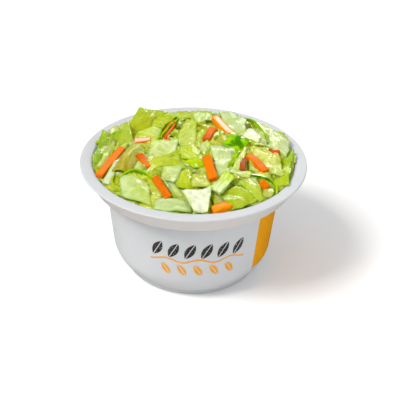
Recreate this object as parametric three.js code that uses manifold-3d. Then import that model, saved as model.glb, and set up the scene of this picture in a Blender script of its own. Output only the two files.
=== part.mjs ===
// A tub of chopped salad: a white plastic tub with a wide flat rim and a slanted collar,
// heaped with cabbage chips, carrot sticks and green pepper. Millimetres, +Z up, the origin
// on the tub's axis at the level it stands on, -Y at the front.
import * as THREE from "three";
import { mergeVertices } from "three/addons/utils/BufferGeometryUtils.js";
import Module from "manifold-3d";

// Driving dimensions of the tub.
const RIM_RADIUS = 59;
const TUB_HEIGHT = 62;
const MOUTH_RADIUS = 53.1; // inner edge of the flat rim
const MOUTH_ROUND = 2; // radius that rolls the rim down into the mouth
const WALL = 1;
const LIP = 0.7; // how far the rim's edge stands out over the collar
const COLLAR_RADIUS = 52.5; // at the collar's lower edge
const COLLAR_BOTTOM = 51.6;
const BODY_TOP_RADIUS = 46.2;
const BODY_SLOPE = 0.1015; // growth of the body's radius for each mm of height
const SHOULDER_TOP = 15; // the body curves in below this height
const SHOULDER_IN = 4.2; // how far the foot of the shoulder lies inside the straight wall
const FOOT_RADIUS = 35.4;
const FOOT_HEIGHT = 3.9;
const FOOT_WIDTH = 4;
const BASE_LIFT = 1; // the base inside the foot ring stands this far off the table
const FLOOR = BASE_LIFT + WALL;
const EDGE_ROUND = 0.4; // the rounded edges of the rim and the foot
const TUB_SIDES = 52;

// Driving dimensions of the heap.
const GAP = 0.3; // clearance between the salad and the tub
const HEAP_EDGE = 61.2; // height of the heap at the mouth
const HEAP_CROWN = 7.6; // how much higher its middle is
const HEAP_LEAN = 0.037; // rise for each mm towards the back
const CORE_DROP = 2.2; // the packed core lies this far below the chips
const CORE_EDGE = 53.5; // past the slanted wall, which cuts the core to size
const CORE_EDGE_BOTTOM = 56.5;
const CORE_SIDES = 36;
const CORE_RINGS = 8;
const LEAF_THICKNESS = 1;
const RIB_THICKNESS = 1.6;
const PEPPER_THICKNESS = 2.2;
const STRIP_THICKNESS = 1.3;
const RING_COUNT = 20; // filler chips along the wall
const RING_RADIUS = 46.5;
const SPIRAL_COUNT = 33; // filler chips inside them
const SPIRAL_REACH = 37;
const FILLER_CLEAR = 7.5; // a filler's middle keeps this far from a placed chip's

// Cabbage chips. Each lies along a line from [x, y, z] to [x, y, z], with its width at both
// ends, its roll about that line in degrees, its bow and the skew of its cut ends.
const CABBAGE = [
  // Back of the heap, from left to right.
  [-30, 20, 66, -23.5, 34.5, 71, 10, 13, 5, 1, -3],
  [-19, 38.5, 66, 9.5, 39, 66, 8.5, 9, 40, -0.5, 0],
  [21.5, 19, 66.5, 20.5, 38, 68.5, 10, 15, 0, 1, 6],
  [34.5, 19.5, 66, 48.5, 9, 63.8, 17, 14, 0, 1, -8],
  [-24, 24.5, 68, -13, 26, 68.5, 9, 9, 15, 1, 0],
  [-30, 12, 67.5, -17, 14, 69, 5, 9, 15, 1, 0],
  [-45.5, 19.5, 65, -40.5, 22.5, 66, 4.5, 4.5, 30, 0.5, 0],
  [0, 30, 68.5, 9.5, 34.5, 68.5, 8.5, 7.5, 15, 1.5, 0],
  [2, 20, 67.5, 8, 24, 67.5, 10, 8, 0, 1, 0],
  [12, 10, 68, 18, 6, 68, 8, 9, 0, 1, 0],
  [-4.5, 0, 67.5, -2, 24, 71, 11.5, 6.5, -5, 1, 3.5],
  // Left side, standing against the wall.
  [-46, 16.5, 66, -49, -10, 61.5, 8, 6.5, -25, 0.5, 0],
  [-42, 10, 65.5, -47.5, -15, 62, 4.5, 4.5, -30, 1, 0],
  [-35.5, 4, 66, -36.5, 22, 70, 8.5, 1.5, 0, 1.5, 1],
  [-42.5, 12, 64.5, -36.5, 14, 66.5, 8, 14, 0, 1, 0],
  [-36, -0.5, 66.5, -43, -29, 62.5, 1.5, 4.5, -10, 0.5, 0],
  [-30, 1.5, 66.5, -36.5, -21.5, 64, 10, 12.5, 12, 1.5, 0],
  [-37.5, -22, 62.5, -39.5, -33, 61, 7, 6, 0, 0.5, 0],
  // Middle.
  [-23, -7, 68, -9, -5, 69.5, 18.5, 14, 8, -1, 4],
  [-24, -19, 66.5, -6.5, -13, 68.5, 6, 8, 15, 1, 0],
  [-8, -7, 68.3, 3, -8, 68.7, 10, 13, 8, 1, 0],
  [-2, -14.5, 69, 3.5, -21, 68, 8, 8, 0, 1, 0],
  [-16, -25, 66.5, -7, -28, 67, 8, 13, 16, 1, 0],
  [-3, -22, 67.2, -4, -36, 65.5, 5, 7.5, 0, 1, 0],
  [1.5, -24.5, 67, 5, -35.5, 65.5, 6, 11, 0, 1, 1],
  [3, -2, 68.5, 9.5, -4, 68.3, 12, 9, 6, 1, 0],
  [15, 1.5, 68.5, 15, -24, 67, 15, 5, -8, 1, -3],
  // Right side.
  [36, 8, 65, 37, -18, 64, 14, 18, -8, 1, 0],
  [48.5, 8, 62, 43.5, -25, 61.5, 9, 9, 15, 1, 0],
  [31, 9.5, 65, 39, 11, 64.5, 6, 6, 0, 1, 0],
  [27, -6, 64.5, 29, -17, 64, 8, 7, 0, 0.5, 0],
  [27, 2.5, 67, 20.5, -19.5, 66, 2.5, 6, 5, 1, 0],
  // Front, from left to right.
  [-38, -31, 60.5, -31, -38.5, 60.3, 5, 5, 0, 0.5, 0],
  [-35.5, -32, 63, -20.5, -38, 63.5, 15, 16, 12, 1, -9],
  [-18, -46, 61.6, 0, -47.5, 61.8, 8, 7, 20, 1, 0],
  [-13.5, -30, 66, -6.5, -41.5, 63.5, 3.5, 4.5, 0, 1, 0],
  [2, -37.5, 65.5, 4.5, -52, 61.8, 15, 6.5, 0, 1, 0],
  [10, -43, 62.5, 16, -41, 63, 6, 6, 10, 1, 0],
  [18, -36, 65, 26, -45.5, 62, 14, 15.5, 0, 1, 0],
  [27, -26.5, 65.8, 33.5, -40, 61.8, 10, 3, 0, 0.5, 0],
  [36, -29, 62.5, 37, -36, 61, 9, 5, 0, 1, 0],
];

// Thick ribs of cabbage, in the same form.
const RIBS = [
  [27, 19.5, 66.8, 35, 14.5, 66.2, 11, 10, 0, 0.5, -3],
  [18.5, -26.5, 67.8, 11, -39.5, 65.6, 7.5, 8, 8, 0.5, 3],
  [18, -21.5, 66.5, 28.5, -24, 65.3, 3.5, 3.5, 10, 0.3, 0],
];

// Pieces of green pepper wall, in the same form.
const PEPPER = [
  [17, 8, 69.6, 26, 3, 66.3, 11.3, 12.8, 8, 0.8, 0],
  [22, -4, 67, 17.5, -19, 66.8, 3, 2, 40, 0.5, 0],
  [-44.5, 15.5, 65.5, -39.5, 17.5, 66.5, 2, 2, 30, 0, 0],
];

// Carrot sticks: from [x, y, z] to [x, y, z], width, thickness and roll.
const CARROT = [
  [-37, -0.5, 66.5, -47, -22.5, 62.5, 4, 2.8, 0],
  [-31.5, 5, 67.3, -22.5, 6.7, 68, 4, 3.8, 20],
  [-11, 25, 70, -16.5, 6, 68.3, 4.2, 3, 0],
  [-15, 5.5, 68.6, -11.5, 3.5, 68.4, 3.5, 2.4, 0],
  [-28, -8.5, 67.2, -22, -19, 66.2, 4, 2.8, 0],
  [-18.5, -28.5, 66.2, -11, -43, 63.4, 4.2, 3.4, 15],
  [10, -49.5, 61.2, 19, -45.5, 62.2, 4.5, 3.6, 0],
  [35, -26.5, 62.5, 35, -30, 64.8, 4.4, 4.4, 45],
  [28, -6, 67.5, 36.5, -18.5, 65.6, 4.2, 2.8, 0],
  [42.5, 4, 63, 42.5, 1, 65, 5, 5, 0],
  [10.5, 31, 69.5, 19.5, 15, 67.7, 4.4, 3.6, 0],
  [10, 18.5, 69.5, 6, 5.5, 69, 4.4, 4, 0],
  [7, -12.3, 69.3, 10.4, -30, 66.8, 4.6, 4, 20],
  [25.5, -9.5, 67, 24.5, -20.5, 66.6, 2.8, 2.6, 0],
];

// Curved strips standing on edge: start, middle and end [x, y, z], and height.
const STRIPS = [
  [28, 33.5, 68, 35.5, 22, 68.5, 38, 9, 67.2, 3],
  [-18, 5.5, 70.2, -16.5, 15, 71, -12.5, 22, 71.4, 2.5],
  [-17, 5, 70, -14, 14, 70.7, -10.5, 24, 71.3, 2.2],
  [-36, -26.5, 64.3, -28, -23, 66, -19.5, -30.5, 64.8, 3],
  [28, -23, 66.2, 38.5, -25, 64, 41, -33, 61.4, 3],
  [-40, -24, 63.5, -39.5, -31, 62.4, -33.5, -35, 62, 3.2],
];

const wasm = await Module();
wasm.setup();

// The same numbers from 0 to 1 in each run.
function seededRandom(seed) {
  let state = seed;
  return () => {
    state = (state * 1664525 + 1013904223) % 4294967296;
    return state / 4294967296;
  };
}

// Outer radius of the tub's body at height z.
function bodyRadius(z) {
  const straight = BODY_TOP_RADIUS - BODY_SLOPE * (COLLAR_BOTTOM - z);
  const below = Math.max(0, (SHOULDER_TOP - z) / (SHOULDER_TOP - FOOT_HEIGHT));
  return straight - SHOULDER_IN * below * below;
}

// Points [radius, height] of the wall from the foot up to the mouth, moved inwards by inset.
function bodyLine(inset) {
  const heights = [FOOT_HEIGHT, 5.6, 7.8, 10.8, SHOULDER_TOP, COLLAR_BOTTOM - 0.6];
  return heights.map((z) => [bodyRadius(z) - inset, z]);
}

// The inside of the tub from the floor's edge up to the rolled rim, moved inwards by inset.
function insideLine(inset) {
  const roll = [0, 45, 90].map((degrees) => {
    const angle = THREE.MathUtils.degToRad(degrees);
    const radius = MOUTH_ROUND + inset;
    return [
      MOUTH_RADIUS + MOUTH_ROUND - radius * Math.cos(angle),
      TUB_HEIGHT - MOUTH_ROUND + radius * Math.sin(angle),
    ];
  });
  return [[FOOT_RADIUS - WALL - inset, FLOOR + inset], ...bodyLine(WALL + inset), ...roll];
}

function lathe(points, sides) {
  const profile = points.map(([radius, height]) => new THREE.Vector2(radius, height));
  const geometry = new THREE.LatheGeometry(profile, sides);
  geometry.rotateX(Math.PI / 2);
  return geometry;
}

function tubGeometry() {
  const collarTop = TUB_HEIGHT - WALL;
  const footInner = FOOT_RADIUS - FOOT_WIDTH;
  const outside = [
    [0, BASE_LIFT],
    [footInner - BASE_LIFT, BASE_LIFT],
    [footInner, 0],
    [FOOT_RADIUS - EDGE_ROUND, 0],
    [FOOT_RADIUS, EDGE_ROUND],
    [FOOT_RADIUS, FOOT_HEIGHT - 0.2],
    ...bodyLine(0),
    [MOUTH_RADIUS + WALL, TUB_HEIGHT - MOUTH_ROUND],
    [MOUTH_RADIUS + MOUTH_ROUND, collarTop],
    [RIM_RADIUS - LIP - WALL, collarTop],
    [COLLAR_RADIUS - WALL, COLLAR_BOTTOM],
    [COLLAR_RADIUS, COLLAR_BOTTOM],
    [RIM_RADIUS - LIP, collarTop - 0.2],
    [RIM_RADIUS, collarTop],
    [RIM_RADIUS, TUB_HEIGHT - EDGE_ROUND],
    [RIM_RADIUS - EDGE_ROUND, TUB_HEIGHT],
  ];
  const inside = insideLine(0).reverse();
  return lathe([...outside, ...inside, [0, FLOOR]], TUB_SIDES);
}

// Height of the heap's even surface over the point x, y.
function heapHeight(x, y) {
  const share = Math.min((x * x + y * y) / MOUTH_RADIUS ** 2, 1);
  return HEAP_EDGE + HEAP_CROWN * (1 - share) + HEAP_LEAN * y;
}

// A closed solid over a grid: place(u, v, face) gives the point of one face, 1 or -1, at u, v
// from 0 to 1. Both faces are split into triangles alike.
function gridSolid(stepsU, stepsV, place) {
  const positions = [];
  const indices = [];
  const rows = stepsV + 1;
  const perFace = (stepsU + 1) * rows;
  for (const face of [1, -1])
    for (let i = 0; i <= stepsU; i++)
      for (let j = 0; j <= stepsV; j++)
        positions.push(...place(i / stepsU, j / stepsV, face).toArray());
  const at = (i, j) => i * rows + j;
  for (let i = 0; i < stepsU; i++)
    for (let j = 0; j < stepsV; j++) {
      const [a, b, c, d] = [at(i, j), at(i + 1, j), at(i + 1, j + 1), at(i, j + 1)];
      indices.push(a, b, c, a, c, d);
      indices.push(...[a, c, b, a, d, c].map((index) => index + perFace));
    }
  const wall = (a, b) => indices.push(b, a, a + perFace, b, a + perFace, b + perFace);
  for (let i = 0; i < stepsU; i++) {
    wall(at(i, 0), at(i + 1, 0));
    wall(at(i + 1, stepsV), at(i, stepsV));
  }
  for (let j = 0; j < stepsV; j++) {
    wall(at(stepsU, j), at(stepsU, j + 1));
    wall(at(0, j + 1), at(0, j));
  }
  const geometry = new THREE.BufferGeometry();
  geometry.setAttribute("position", new THREE.Float32BufferAttribute(positions, 3));
  geometry.setIndex(indices);
  return geometry;
}

// The frame of a piece that lies from start to end: along it, across it and out of its face.
function pieceFrame(start, end, rollDegrees) {
  const along = end.clone().sub(start);
  const length = along.length();
  along.normalize();
  const across = new THREE.Vector3(0, 0, 1).cross(along).normalize();
  across.applyAxisAngle(along, THREE.MathUtils.degToRad(rollDegrees));
  const out = along.clone().cross(across);
  return { start, length, along, across, out };
}

function pointIn(frame, alongBy, acrossBy, outBy) {
  return frame.start
    .clone()
    .addScaledVector(frame.along, alongBy)
    .addScaledVector(frame.across, acrossBy)
    .addScaledVector(frame.out, outBy);
}

// A thin wavy chip of leaf or pepper wall.
function chipGeometry(row, thickness, random) {
  const [x0, y0, z0, x1, y1, z1, startWidth, endWidth, roll, bow, skew] = row;
  const start = new THREE.Vector3(x0, y0, z0);
  const frame = pieceFrame(start, new THREE.Vector3(x1, y1, z1), roll);
  const cup = 1.6 * (random() - 0.5);
  const wave = 0.5 * random();
  const phase = 6 * random();
  return gridSolid(3, 2, (u, v, face) => {
    const side = 2 * v - 1;
    const width = startWidth + (endWidth - startWidth) * u;
    const rise = bow * 4 * u * (1 - u) + cup * (1 - side * side);
    const ripple = wave * Math.sin(phase + 5 * u + 3 * side);
    const alongBy = frame.length * u + 0.5 * skew * side;
    return pointIn(frame, alongBy, 0.5 * width * side, rise + ripple + 0.5 * thickness * face);
  });
}

function stickGeometry([x0, y0, z0, x1, y1, z1, width, thickness, roll]) {
  const start = new THREE.Vector3(x0, y0, z0);
  const frame = pieceFrame(start, new THREE.Vector3(x1, y1, z1), roll);
  return gridSolid(1, 1, (u, v, face) =>
    pointIn(frame, frame.length * u, width * (v - 0.5), 0.5 * thickness * face),
  );
}

function stripGeometry([x0, y0, z0, x1, y1, z1, x2, y2, z2, height]) {
  const curve = new THREE.CatmullRomCurve3([
    new THREE.Vector3(x0, y0, z0),
    new THREE.Vector3(x1, y1, z1),
    new THREE.Vector3(x2, y2, z2),
  ]);
  const up = new THREE.Vector3(0, 0, 1);
  return gridSolid(6, 1, (u, v, face) => {
    const across = curve.getTangent(u).cross(up).normalize();
    return curve
      .getPoint(u)
      .addScaledVector(up, height * (v - 0.5))
      .addScaledVector(across, 0.5 * STRIP_THICKNESS * face);
  });
}

// A chip that lies on the heap's slope, at a radius and bearing, as a row like the placed ones.
function lyingRow(radius, bearing, heading, halfLength, width, tilt, extraRoll) {
  const x = radius * Math.cos(bearing);
  const y = radius * Math.sin(bearing);
  const dx = halfLength * Math.cos(heading);
  const dy = halfLength * Math.sin(heading);
  const slope = (-2 * HEAP_CROWN * radius) / MOUTH_RADIUS ** 2;
  const lie = THREE.MathUtils.radToDeg(Math.atan(slope * Math.sin(bearing - heading)));
  const start = [x - dx, y - dy, heapHeight(x - dx, y - dy) - tilt];
  const end = [x + dx, y + dy, heapHeight(x + dx, y + dy) + tilt];
  return [...start, ...end, width, width, lie + extraRoll, 1, 0];
}

// Chips that fill the gaps between the placed ones: a ring along the wall and a sunflower
// spiral inside it.
function fillerRows(random) {
  const goldenAngle = Math.PI * (3 - Math.sqrt(5));
  const rows = [];
  for (let i = 0; i < RING_COUNT; i++) {
    const bearing = (2 * Math.PI * (i + 0.4 * random())) / RING_COUNT;
    const heading = bearing + Math.PI / 2 + 0.5 * (random() - 0.5);
    const radius = RING_RADIUS - 1.5 * random();
    const tilt = 2 * (random() - 0.5);
    rows.push(lyingRow(radius, bearing, heading, 6.5 + 2 * random(), 11, tilt, -6 * random()));
  }
  for (let i = 0; i < SPIRAL_COUNT; i++) {
    const radius = SPIRAL_REACH * Math.sqrt((i + 0.5) / SPIRAL_COUNT);
    const heading = 2 * Math.PI * random();
    const tilt = 3 * (random() - 0.5);
    const roll = 24 * (random() - 0.5);
    const halfLength = 5 + 3.5 * random();
    rows.push(lyingRow(radius, goldenAngle * i, heading, halfLength, 8 + 5 * random(), tilt, roll));
  }
  const crowded = ([ax, ay, , bx, by]) =>
    CABBAGE.some(
      ([x0, y0, , x1, y1]) => Math.hypot(x0 + x1 - ax - bx, y0 + y1 - ay - by) < 2 * FILLER_CLEAR,
    );
  return rows.filter((row) => !crowded(row));
}

// Low swells of the packed core, about 14 mm from one to the next.
function coreBump(x, y) {
  return 0.6 * Math.sin(0.45 * x + 1) * Math.cos(0.38 * y) + 0.36 * Math.sin(0.3 * (x + y));
}

// The packed salad under the chips, from the tub's floor up to an uneven crown.
function coreGeometry() {
  const wallPoints = insideLine(2 * GAP).filter(([, z]) => z < COLLAR_BOTTOM);
  const crown = [];
  for (let i = 0; i <= CORE_RINGS; i++) {
    const radius = CORE_EDGE * (1 - i / CORE_RINGS);
    crown.push([radius, heapHeight(radius, 0) - CORE_DROP]);
  }
  const outline = [[0, FLOOR + 2 * GAP], ...wallPoints, [CORE_EDGE, CORE_EDGE_BOTTOM], ...crown];
  const geometry = lathe(outline, CORE_SIDES);
  const position = geometry.getAttribute("position");
  const lowestCrown = heapHeight(CORE_EDGE, 0) - CORE_DROP;
  for (let i = 0; i < position.count; i++) {
    const [x, y, z] = [position.getX(i), position.getY(i), position.getZ(i)];
    if (z > lowestCrown - GAP) position.setZ(i, z + HEAP_LEAN * y + coreBump(x, y));
  }
  return geometry;
}

// The space that the salad may fill: the tub's inside, and over the rim out to its edge.
function roomGeometry() {
  const overRim = RIM_RADIUS - 1;
  const top = TUB_HEIGHT + 20;
  const points = [[0, FLOOR + GAP], ...insideLine(GAP)];
  return lathe([...points, [overRim, TUB_HEIGHT + GAP], [overRim, top], [0, top]], TUB_SIDES);
}

function toManifold(geometry) {
  const bare = new THREE.BufferGeometry();
  bare.setAttribute("position", geometry.getAttribute("position"));
  bare.setIndex(geometry.getIndex());
  const merged = mergeVertices(bare, 1e-4);
  const mesh = new wasm.Mesh({
    numProp: 3,
    vertProperties: merged.getAttribute("position").array,
    triVerts: new Uint32Array(merged.getIndex().array),
  });
  return new wasm.Manifold(mesh);
}

function toGeometry(solid) {
  const { vertProperties, triVerts } = solid.getMesh();
  const geometry = new THREE.BufferGeometry();
  geometry.setAttribute("position", new THREE.BufferAttribute(vertProperties, 3));
  geometry.setIndex(new THREE.BufferAttribute(triVerts, 1));
  return geometry;
}

// The core with every piece fused on, cut to the room, without loose scraps or sealed hollows.
function slawGeometry() {
  const random = seededRandom(7);
  const fillers = fillerRows(random);
  const pieces = [
    ...[...CABBAGE, ...fillers].map((row) => chipGeometry(row, LEAF_THICKNESS, random)),
    ...RIBS.map((row) => chipGeometry(row, RIB_THICKNESS, random)),
    ...PEPPER.map((row) => chipGeometry(row, PEPPER_THICKNESS, random)),
    ...CARROT.map(stickGeometry),
    ...STRIPS.map(stripGeometry),
  ];
  const fused = pieces.reduce(
    (heap, piece) => heap.add(toManifold(piece)),
    toManifold(coreGeometry()),
  );
  const bodies = fused.intersect(toManifold(roomGeometry())).decompose();
  bodies.sort((a, b) => b.volume() - a.volume());
  return toGeometry(bodies[0]);
}

function namedMesh(name, geometry, look) {
  const mesh = new THREE.Mesh(geometry, new THREE.MeshStandardMaterial(look));
  mesh.name = name;
  return mesh;
}

const salad = new THREE.Group();
salad.add(namedMesh("tub", tubGeometry(), { color: 0xdfe3e4, roughness: 0.45, metalness: 0 }));
salad.add(namedMesh("slaw", slawGeometry(), { color: 0xc3d060, roughness: 0.4, metalness: 0 }));

export default salad;
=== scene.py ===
"""A tub of chopped salad: a white plastic tub with a wide flat rim and a slanted collar, a
printed band and leaf garland, heaped with cabbage chips, carrot sticks and green pepper.

Shapes are worked out in millimetres in the part's own frame and scaled to metres at the end.
"""

import math
import random

import bmesh
import bpy
from mathutils import Matrix, Quaternion, Vector, noise
from mathutils.bvhtree import BVHTree


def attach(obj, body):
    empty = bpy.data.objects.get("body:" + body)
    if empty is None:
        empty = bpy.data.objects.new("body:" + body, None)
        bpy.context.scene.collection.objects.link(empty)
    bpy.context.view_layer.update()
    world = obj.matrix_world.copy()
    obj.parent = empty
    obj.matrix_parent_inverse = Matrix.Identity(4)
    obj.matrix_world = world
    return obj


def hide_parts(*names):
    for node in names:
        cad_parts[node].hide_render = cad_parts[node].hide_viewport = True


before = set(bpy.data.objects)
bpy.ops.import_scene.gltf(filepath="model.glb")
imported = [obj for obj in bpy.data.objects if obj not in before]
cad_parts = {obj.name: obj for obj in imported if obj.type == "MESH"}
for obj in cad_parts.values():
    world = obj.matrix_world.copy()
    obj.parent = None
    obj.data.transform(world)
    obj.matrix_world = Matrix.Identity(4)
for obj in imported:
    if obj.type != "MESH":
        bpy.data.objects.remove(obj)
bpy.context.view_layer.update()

MM = 0.001

# Driving dimensions of the tub.
RIM_RADIUS = 59
TUB_HEIGHT = 62
MOUTH_RADIUS = 53.1
MOUTH_ROUND = 2
WALL = 1
LIP = 0.7  # the rim stands out this far past the top of the collar
COLLAR_RADIUS = 52.5
COLLAR_BOTTOM = 51.6
FLARE_DROP = 0.6  # the wall starts to flare this far below the collar
BODY_TOP_RADIUS = 46.2
BODY_SLOPE = 0.1015  # radius lost for each mm down
SHOULDER_TOP = 15
SHOULDER_IN = 4.2
FOOT_RADIUS = 35.4
FOOT_HEIGHT = 3.9
FOOT_WIDTH = 4
BASE_LIFT = 1
FLOOR = BASE_LIFT + WALL
TUB_STEPS = 160
FILLET_STEPS = 5

# Driving dimensions of the print. Arcs run round the tub at PRINT_RADIUS, from 0 at its front
# to positive values at its right.
PRINT_RADIUS = 45
PRINT_SOFTNESS = 0.12
BAND_ARCS = (38.8, 84)
BAND_HEIGHTS = (11.6, COLLAR_BOTTOM - 1)
GARLAND_ARCS = (-21.8, 29.8)
LOWER_ARCS = (-17.5, 25.5)  # where leaves hang below the stem
LEAF_PITCH = 8.6
STEM_HEIGHT = 27
STEM_WAVE = 1.1
STEM_HALF_WIDTH = 0.5
VEIN_HALF_WIDTH = 0.22

# Driving dimensions of the heap. Its even surface is the smooth dome that its pieces follow.
SEED = 11  # of every random draw
GAP = 0.3  # between the food and the wall
RIM_REACH = 3  # a chip may go this far past the wall for each mm that it is over the rim
RIM_CLEAR = 2  # but no chip covers this outermost part of the rim
HEAP_EDGE = 61.2  # height of the even surface at the wall
HEAP_CROWN = 7.6  # its rise from there to the middle
HEAP_LEAN = 0.037  # its rise for each mm back
HEAP_TOP = 72.5  # no chip stands higher
CORE_DROP = 2.4  # the core lies this far below the even surface
CORE_RIPPLE = 1.2
CORE_FADE = 3  # the ripple fades out over this distance from the wall
CORE_STEPS = 120
CORE_RINGS = 30
LEAF_THICKNESS = 0.55
RIB_THICKNESS = 1.5
PEPPER_THICKNESS = 1.9
STRIP_THICKNESS = 0.9

# The filler: a ring of chips along the wall and a spiral of chips inside it.
RING_COUNT = 34
RING_RADIUS = 49.3
RING_WIDTH = 11
SPIRAL_COUNT = 110
SPIRAL_RADIUS = 42
FILLER_DROP = 0.5  # the filler lies this far below the even surface
BACK_DROP = 0.035  # it and the core lie lower by this for each mm back, to clear the rim
FILLER_CLEARANCE = 0.7  # and it is held this far below the placed pieces

# The uneven forms of a piece, which is cut from anywhere in a field of noise.
FIELD = 90
CELL = 1.1  # size of a leaf's mesh cells
STRAY = 0.6  # how far a point of a leaf strays along its face
STRAY_PITCH = 6
FOLD_PITCH = 4.5
WAVE_PITCH = 7
RIB_DRIFT = 1.5
CURL_LIFTS = (-1, 2)  # how far a corner may be curled down or up

# A carrot stick: a mesh ring inside each cut end, then the length of its slices, its ripple
# and the bare length at both ends of its pale stripe, which is partly painted highlight.
STICK_INSET = 0.25
STICK_SLICE = 1.5
STICK_RIPPLE = 0.25
STICK_BARE = 0.8

# Faces that meet below these angles in degrees are shaded as one surface.
TUB_SMOOTH = 35
CORE_SMOOTH = 60
LEAF_SMOOTH = 80
CUT_SMOOTH = 50
STICK_SMOOTH = 40

# Surface of a leaf: height of its long waves and of its crinkles, then height, pitch and
# slant of its ribs, then how far its middle stands above its sides.
STYLES = {
    "smooth": (1.3, 0.1, 0.06, 5, 0.3, 0.4),
    "crinkled": (1.6, 0.9, 0.1, 4, 0.5, -0.8),
    "ribbed": (0.9, 0.1, 0.5, 2.4, 0.05, 1.2),
    "veined": (1, 0.25, 0.4, 3.6, 0.8, 0.5),
    "domed": (0.7, 0.1, 0.45, 2.6, 0.05, 3.4),
    "cupped": (1.2, 0.3, 0.15, 4, 0.4, -2.2),
}

# 8-bit colours, as seen in even light. A few stand in for light and shade instead, and are marked
# so.
TINTS = {
    "white": (230, 243, 196),
    "mint": (206, 226, 160),
    "pale": (200, 218, 124),
    "beige": (196, 204, 108),
    "pearl": (216, 212, 190),
    "cream": (206, 214, 92),
    "lime": (186, 206, 52),
    "yellow_green": (192, 208, 24),
    "bright": (192, 222, 2),
    "sage": (172, 190, 66),
    "olive": (178, 184, 10),
    # painted shade: the umber of leaf parts that lie in shade
    "bronze": (176, 160, 16),
    "leaf_green": (168, 202, 76),
    "pepper": (84, 158, 0),
    "pepper_light": (132, 178, 12),
    "pepper_flesh": (150, 198, 8),
    # painted shade: the saturated yellow-olive of the shaded depths of the heap
    "painted_depth_shade": (184, 190, 10),
    "carrot_bright": (255, 150, 0),
    "carrot": (242, 124, 0),
    "carrot_dull": (222, 112, 0),
    "carrot_red": (214, 88, 0),
    # painted shade: the darker colour of carrot pieces that lie in shade
    "carrot_brown": (172, 76, 2),
    # partly painted highlight: the pale colour of the core and of the stripe down a stick
    "carrot_pale_and_painted_highlight": (252, 206, 184),
    "leaf_edge": (116, 156, 16),
    # painted shade: the tones of the salad seen in the shaded gaps between chips
    "packed_painted_shade": (184, 192, 14),
    "packed_painted_shade_pale": (212, 224, 60),
    "ink": (228, 156, 10),
    "ink_deep": (214, 144, 2),
    "ink_dark": (48, 44, 40),
}
LEAF_SHADES = (0.8, 0.92)  # limits of the factor that darkens a chip's tint
PLAIN_SHADE = 0.9  # the same factor for sticks and strips
# Chips that lie low take on painted shade of the heap's depths.
PAINTED_SHADE_SHARE = 0.6  # how much of "depth" is in a chip that lies low
PAINTED_SHADE_BELOW = 3  # low is this far below the heap's even surface
PAINTED_SHADE_SPAN = 5  # and the change to it takes this height

# Tones of the plastic, as linear colours: the two that its faint clouds go between, then a
# warmer tone of painted warm reflected light on the collar, which is what lies further out than one
# radius and lower than one height.
PLASTIC = (0.505, 0.52, 0.535, 1)
PLASTIC_LIGHT = (0.54, 0.55, 0.565, 1)
PLASTIC_COLLAR_PAINTED_LIGHT = (0.565, 0.53, 0.51, 1)
PAINTED_LIGHT_RADIUS = 47.5
PAINTED_LIGHT_TOP = 61.2

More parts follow.
